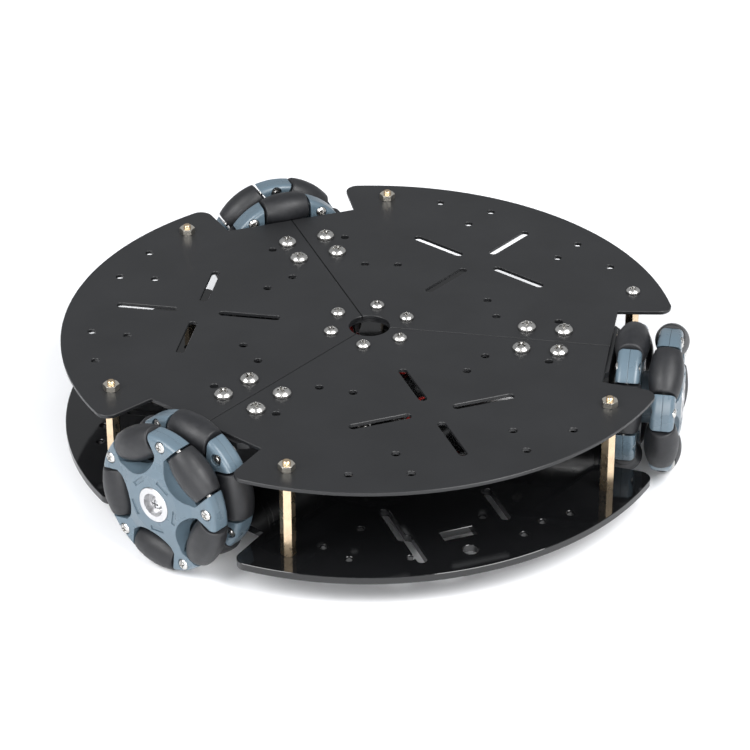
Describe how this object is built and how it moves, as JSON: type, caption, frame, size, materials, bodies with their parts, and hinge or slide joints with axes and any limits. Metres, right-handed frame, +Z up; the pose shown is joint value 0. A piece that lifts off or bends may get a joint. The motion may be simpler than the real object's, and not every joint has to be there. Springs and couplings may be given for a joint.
{
  "type": "three-wheel omni robot chassis",
  "caption": "Round two-deck robot base on radially mounted omni wheels, each driven by a geared motor under a slotted upper deck.",
  "frame": {"origin": "centre of the cable hole, in the top face of the upper deck", "axes": "+Z up along the axis of the round decks; +Y along the rear wheel's axis, pointing outwards; +X to the right, with the left and right wheel axes 120 degrees either side"},
  "size_m": [0.24, 0.2438, 0.0588],
  "materials": {
    "upper_deck": "satin black anodised aluminium sheet",
    "lower_deck": "gloss black acrylic sheet",
    "bracket_steel": "black plated steel",
    "brass": "turned and bright",
    "nickel_plate": "bright nickel plate",
    "stainless": "bright stainless",
    "coupling_steel": "turned",
    "motor_steel": "plated steel can",
    "lead_insulation": "soft red and black wire insulation",
    "connector_nylon": "moulded white nylon",
    "hub_plastic": "satin moulded slate-blue plastic",
    "roller_rubber": "smooth matt rubber"
  },
  "bodies": {
    "chassis": {"upper_deck_front": "upper_deck", "upper_deck_right": "upper_deck", "upper_deck_left": "upper_deck", "lower_deck_front": "lower_deck", "lower_deck_right": "lower_deck", "lower_deck_left": "lower_deck", "joining_plates": "bracket_steel", "standoffs": "brass", "standoff_nuts": "nickel_plate", "m3_screws": "stainless", "bracket_screws": "stainless", "left_motor_bracket": "bracket_steel", "left_gearmotor": "motor_steel", "left_motor_lead": "lead_insulation", "right_motor_bracket": "bracket_steel", "right_gearmotor": "motor_steel", "right_motor_lead": "lead_insulation", "rear_motor_bracket": "bracket_steel", "rear_gearmotor": "motor_steel", "rear_motor_lead": "lead_insulation", "lead_connectors": "connector_nylon"},
    "left_wheel": {"left_wheel_shells": "hub_plastic", "left_wheel_pins_and_screws": "stainless", "left_drive_shaft": "coupling_steel"},
    "right_wheel": {"right_wheel_shells": "hub_plastic", "right_wheel_pins_and_screws": "stainless", "right_drive_shaft": "coupling_steel"},
    "rear_wheel": {"rear_wheel_shells": "hub_plastic", "rear_wheel_pins_and_screws": "stainless", "rear_drive_shaft": "coupling_steel"},
    "left_inner_roller_1": {"left_inner_roller_1": "roller_rubber"},
    "left_inner_roller_2": {"left_inner_roller_2": "roller_rubber"},
    "left_inner_roller_3": {"left_inner_roller_3": "roller_rubber"},
    "left_inner_roller_4": {"left_inner_roller_4": "roller_rubber"},
    "left_inner_roller_5": {"left_inner_roller_5": "roller_rubber"},
    "left_outer_roller_1": {"left_outer_roller_1": "roller_rubber"},
    "left_outer_roller_2": {"left_outer_roller_2": "roller_rubber"},
    "left_outer_roller_3": {"left_outer_roller_3": "roller_rubber"},
    "left_outer_roller_4": {"left_outer_roller_4": "roller_rubber"},
    "left_outer_roller_5": {"left_outer_roller_5": "roller_rubber"},
    "right_inner_roller_1": {"right_inner_roller_1": "roller_rubber"},
    "right_inner_roller_2": {"right_inner_roller_2": "roller_rubber"},
    "right_inner_roller_3": {"right_inner_roller_3": "roller_rubber"},
    "right_inner_roller_4": {"right_inner_roller_4": "roller_rubber"},
    "right_inner_roller_5": {"right_inner_roller_5": "roller_rubber"},
    "right_outer_roller_1": {"right_outer_roller_1": "roller_rubber"},
    "right_outer_roller_2": {"right_outer_roller_2": "roller_rubber"},
    "right_outer_roller_3": {"right_outer_roller_3": "roller_rubber"},
    "right_outer_roller_4": {"right_outer_roller_4": "roller_rubber"},
    "right_outer_roller_5": {"right_outer_roller_5": "roller_rubber"},
    "rear_inner_roller_1": {"rear_inner_roller_1": "roller_rubber"},
    "rear_inner_roller_2": {"rear_inner_roller_2": "roller_rubber"},
    "rear_inner_roller_3": {"rear_inner_roller_3": "roller_rubber"},
    "rear_inner_roller_4": {"rear_inner_roller_4": "roller_rubber"},
    "rear_inner_roller_5": {"rear_inner_roller_5": "roller_rubber"},
    "rear_outer_roller_1": {"rear_outer_roller_1": "roller_rubber"},
    "rear_outer_roller_2": {"rear_outer_roller_2": "roller_rubber"},
    "rear_outer_roller_3": {"rear_outer_roller_3": "roller_rubber"},
    "rear_outer_roller_4": {"rear_outer_roller_4": "roller_rubber"},
    "rear_outer_roller_5": {"rear_outer_roller_5": "roller_rubber"}
  },
  "joints": [
    {"name": "left_wheel_spin", "type": "hinge", "parent": "chassis", "child": "left_wheel", "pos_m": [-0.09093, -0.0525, -0.0214], "axis": [-0.866, -0.5, 0], "continuous": true},
    {"name": "left_inner_roller_1_spin", "type": "hinge", "parent": "left_wheel", "child": "left_inner_roller_1", "pos_m": [-0.07789, -0.07068, -0.01699], "axis": [0.0971, -0.1682, -0.981], "continuous": true},
    {"name": "left_inner_roller_2_spin", "type": "hinge", "parent": "left_wheel", "child": "left_inner_roller_2", "pos_m": [-0.08349, -0.06099, -0.04122], "axis": [-0.4365, 0.756, -0.4879], "continuous": true},
    {"name": "left_inner_roller_3_spin", "type": "hinge", "parent": "left_wheel", "child": "left_inner_roller_3", "pos_m": [-0.09674, -0.03804, -0.03806], "axis": [-0.3669, 0.6354, 0.6794], "continuous": true},
    {"name": "left_inner_roller_4_spin", "type": "hinge", "parent": "left_wheel", "child": "left_inner_roller_4", "pos_m": [-0.09933, -0.03355, -0.01188], "axis": [0.2097, -0.3633, 0.9078], "continuous": true},
    {"name": "left_inner_roller_5_spin", "type": "hinge", "parent": "left_wheel", "child": "left_inner_roller_5", "pos_m": [-0.08768, -0.05373, 0.00114], "axis": [0.4965, -0.8599, -0.1184], "continuous": true},
    {"name": "left_outer_roller_1_spin", "type": "hinge", "parent": "left_wheel", "child": "left_outer_roller_1", "pos_m": [-0.0937, -0.07191, -0.00474], "axis": [0.3669, -0.6354, -0.6794], "continuous": true},
    {"name": "left_outer_roller_2_spin", "type": "hinge", "parent": "left_wheel", "child": "left_outer_roller_2", "pos_m": [-0.09111, -0.0764, -0.03092], "axis": [-0.2097, 0.3633, -0.9078], "continuous": true},
    {"name": "left_outer_roller_3_spin", "type": "hinge", "parent": "left_wheel", "child": "left_outer_roller_3", "pos_m": [-0.10276, -0.05622, -0.04394], "axis": [-0.4965, 0.8599, 0.1184], "continuous": true},
    {"name": "left_outer_roller_4_spin", "type": "hinge", "parent": "left_wheel", "child": "left_outer_roller_4", "pos_m": [-0.11255, -0.03927, -0.02581], "axis": [-0.0971, 0.1682, 0.981], "continuous": true},
    {"name": "left_outer_roller_5_spin", "type": "hinge", "parent": "left_wheel", "child": "left_outer_roller_5", "pos_m": [-0.10695, -0.04896, -0.00158], "axis": [0.4365, -0.756, 0.4879], "continuous": true},
    {"name": "right_wheel_spin", "type": "hinge", "parent": "chassis", "child": "right_wheel", "pos_m": [0.09093, -0.0525, -0.0214], "axis": [0.866, -0.5, 0], "continuous": true},
    {"name": "right_inner_roller_1_spin", "type": "hinge", "parent": "right_wheel", "child": "right_inner_roller_1", "pos_m": [0.09988, -0.0326, -0.01476], "axis": [0.1462, 0.2532, -0.9563], "continuous": true},
    {"name": "right_inner_roller_2_spin", "type": "hinge", "parent": "right_wheel", "child": "right_inner_roller_2", "pos_m": [0.09554, -0.04012, -0.03999], "axis": [-0.4096, -0.7094, -0.5736], "continuous": true},
    {"name": "right_inner_roller_3_spin", "type": "hinge", "parent": "right_wheel", "child": "right_inner_roller_3", "pos_m": [0.0822, -0.06323, -0.03953], "axis": [-0.3993, -0.6916, 0.6018], "continuous": true},
    {"name": "right_inner_roller_4_spin", "type": "hinge", "parent": "right_wheel", "child": "right_inner_roller_4", "pos_m": [0.0783, -0.06999, -0.01401], "axis": [0.1628, 0.282, 0.9455], "continuous": true},
    {"name": "right_inner_roller_5_spin", "type": "hinge", "parent": "right_wheel", "child": "right_inner_roller_5", "pos_m": [0.08923, -0.05106, 0.0013], "axis": [0.4999, 0.8659, -0.0175], "continuous": true},
    {"name": "right_outer_roller_1_spin", "type": "hinge", "parent": "right_wheel", "child": "right_outer_roller_1", "pos_m": [0.10824, -0.04672, -0.00327], "axis": [0.3993, 0.6916, -0.6018], "continuous": true},
    {"name": "right_outer_roller_2_spin", "type": "hinge", "parent": "right_wheel", "child": "right_outer_roller_2", "pos_m": [0.11214, -0.03996, -0.02879], "axis": [-0.1628, -0.282, -0.9455], "continuous": true},
    {"name": "right_outer_roller_3_spin", "type": "hinge", "parent": "right_wheel", "child": "right_outer_roller_3", "pos_m": [0.10121, -0.05889, -0.0441], "axis": [-0.4999, -0.8659, 0.0175], "continuous": true},
    {"name": "right_outer_roller_4_spin", "type": "hinge", "parent": "right_wheel", "child": "right_outer_roller_4", "pos_m": [0.09056, -0.07735, -0.02804], "axis": [-0.1462, -0.2532, 0.9563], "continuous": true},
    {"name": "right_outer_roller_5_spin", "type": "hinge", "parent": "right_wheel", "child": "right_outer_roller_5", "pos_m": [0.0949, -0.06983, -0.00281], "axis": [0.4096, 0.7094, 0.5736], "continuous": true},
    {"name": "rear_wheel_spin", "type": "hinge", "parent": "chassis", "child": "rear_wheel", "pos_m": [0, 0.105, -0.0214], "axis": [0, 1, 0], "continuous": true},
    {"name": "rear_inner_roller_1_spin", "type": "hinge", "parent": "rear_wheel", "child": "rear_inner_roller_1", "pos_m": [-0.02171, 0.1028, -0.01476], "axis": [-0.2924, 0, -0.9563], "continuous": true},
    {"name": "rear_inner_roller_2_spin", "type": "hinge", "parent": "rear_wheel", "child": "rear_inner_roller_2", "pos_m": [-0.01302, 0.1028, -0.03999], "axis": [0.8192, 0, -0.5736], "continuous": true},
    {"name": "rear_inner_roller_3_spin", "type": "hinge", "parent": "rear_wheel", "child": "rear_inner_roller_3", "pos_m": [0.01366, 0.1028, -0.03953], "axis": [0.7986, 0, 0.6018], "continuous": true},
    {"name": "rear_inner_roller_4_spin", "type": "hinge", "parent": "rear_wheel", "child": "rear_inner_roller_4", "pos_m": [0.02146, 0.1028, -0.01401], "axis": [-0.3256, 0, 0.9455], "continuous": true},
    {"name": "rear_inner_roller_5_spin", "type": "hinge", "parent": "rear_wheel", "child": "rear_inner_roller_5", "pos_m": [-0.0004, 0.1028, 0.0013], "axis": [-0.9998, 0, -0.0175], "continuous": true},
    {"name": "rear_outer_roller_1_spin", "type": "hinge", "parent": "rear_wheel", "child": "rear_outer_roller_1", "pos_m": [-0.01366, 0.1171, -0.00327], "axis": [-0.7986, 0, -0.6018], "continuous": true},
    {"name": "rear_outer_roller_2_spin", "type": "hinge", "parent": "rear_wheel", "child": "rear_outer_roller_2", "pos_m": [-0.02146, 0.1171, -0.02879], "axis": [0.3256, 0, -0.9455], "continuous": true},
    {"name": "rear_outer_roller_3_spin", "type": "hinge", "parent": "rear_wheel", "child": "rear_outer_roller_3", "pos_m": [0.0004, 0.1171, -0.0441], "axis": [0.9998, 0, 0.0175], "continuous": true},
    {"name": "rear_outer_roller_4_spin", "type": "hinge", "parent": "rear_wheel", "child": "rear_outer_roller_4", "pos_m": [0.02171, 0.1171, -0.02804], "axis": [0.2924, 0, 0.9563], "continuous": true},
    {"name": "rear_outer_roller_5_spin", "type": "hinge", "parent": "rear_wheel", "child": "rear_outer_roller_5", "pos_m": [0.01302, 0.1171, -0.00281], "axis": [-0.8192, 0, 0.5736], "continuous": true}
  ]
}
